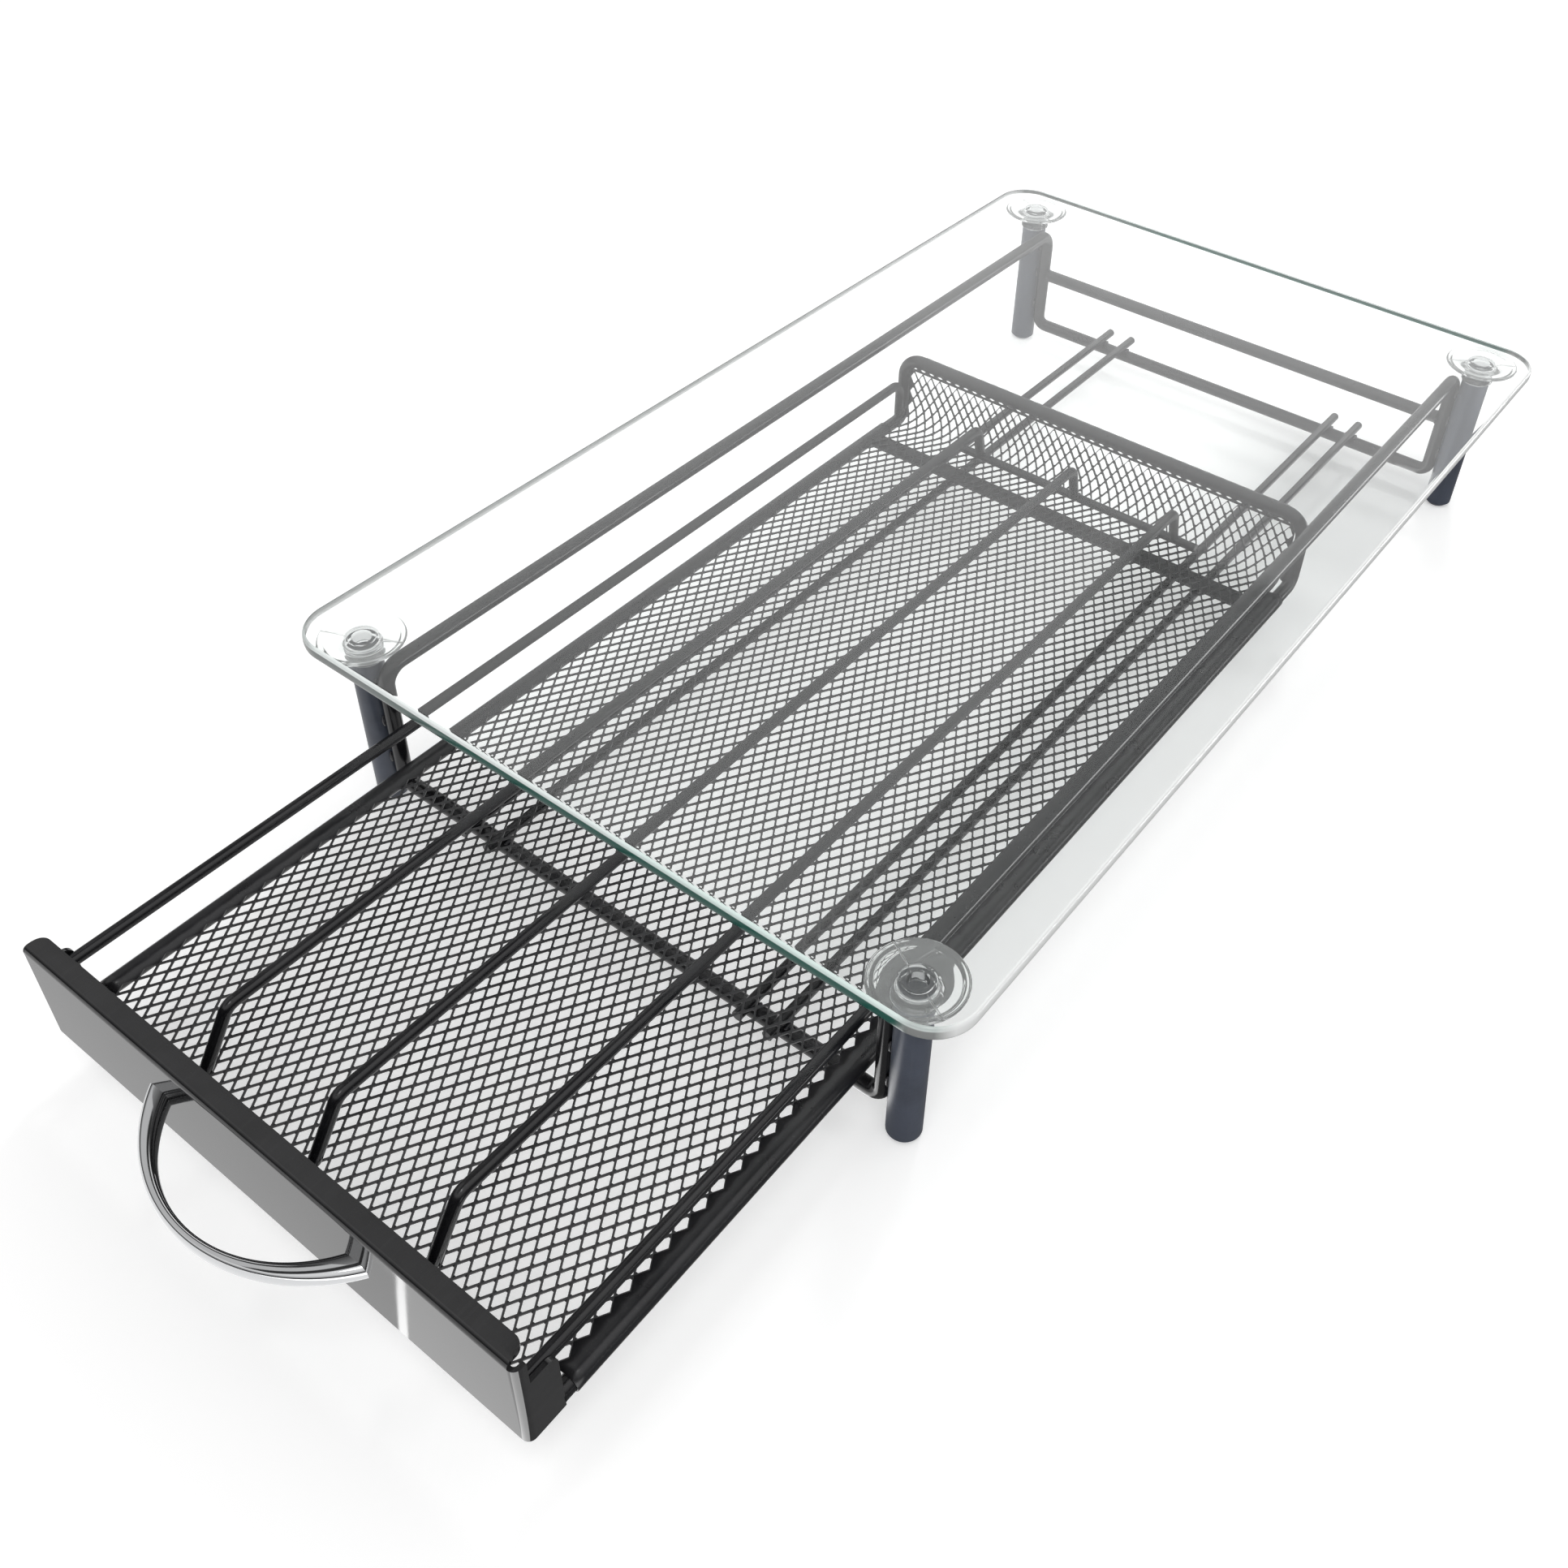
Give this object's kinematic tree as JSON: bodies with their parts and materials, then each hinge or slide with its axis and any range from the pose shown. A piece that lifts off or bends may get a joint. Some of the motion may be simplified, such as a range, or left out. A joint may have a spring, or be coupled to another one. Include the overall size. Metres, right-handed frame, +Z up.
{
  "type": "coffee pod drawer",
  "caption": "Low glass-topped shelf on four black rods, with a sliding wire and mesh drawer for coffee pods, a folded sheet front and a chrome arch handle.",
  "frame": {"origin": "on the table, at the centre of the four legs", "axes": "+Z up, +Y from the drawer's front towards the back, +X to the right as seen from the front"},
  "size_m": [0.236, 0.5283, 0.066],
  "materials": {
    "glass": "clear, polished edges",
    "leg_black": "satin black",
    "holder_clear": "clear, smooth moulded",
    "wire_black": "semi-gloss black",
    "mesh_black": "semi-gloss black",
    "panel_black": "gloss black",
    "chrome": "polished"
  },
  "bodies": {
    "frame": {"glass_top": "glass", "holder_front_left": "holder_clear", "holder_front_right": "holder_clear", "holder_back_left": "holder_clear", "holder_back_right": "holder_clear", "leg_front_left": "leg_black", "leg_front_right": "leg_black", "leg_back_left": "leg_black", "leg_back_right": "leg_black", "frame_wire_left": "wire_black", "frame_wire_right": "wire_black", "cross_rod_front": "wire_black", "cross_rod_back": "wire_black", "upper_back_bar": "wire_black", "runner_left_outer": "wire_black", "runner_left_inner": "wire_black", "runner_right_inner": "wire_black", "runner_right_outer": "wire_black"},
    "drawer": {"mesh_floor": "mesh_black", "mesh_back": "mesh_black", "edge_rod_left": "wire_black", "edge_rod_right": "wire_black", "basket_rim": "wire_black", "side_rail_left": "wire_black", "side_rail_right": "wire_black", "divider_left": "wire_black", "divider_middle": "wire_black", "divider_right": "wire_black", "foot_wire": "wire_black", "cross_strip": "mesh_black", "front_panel": "panel_black", "handle": "chrome"}
  },
  "joints": [
    {"name": "drawer_slide", "type": "slide", "parent": "frame", "child": "drawer", "axis": [0, 1, 0], "range_m": [-0.065, 0.11]}
  ]
}
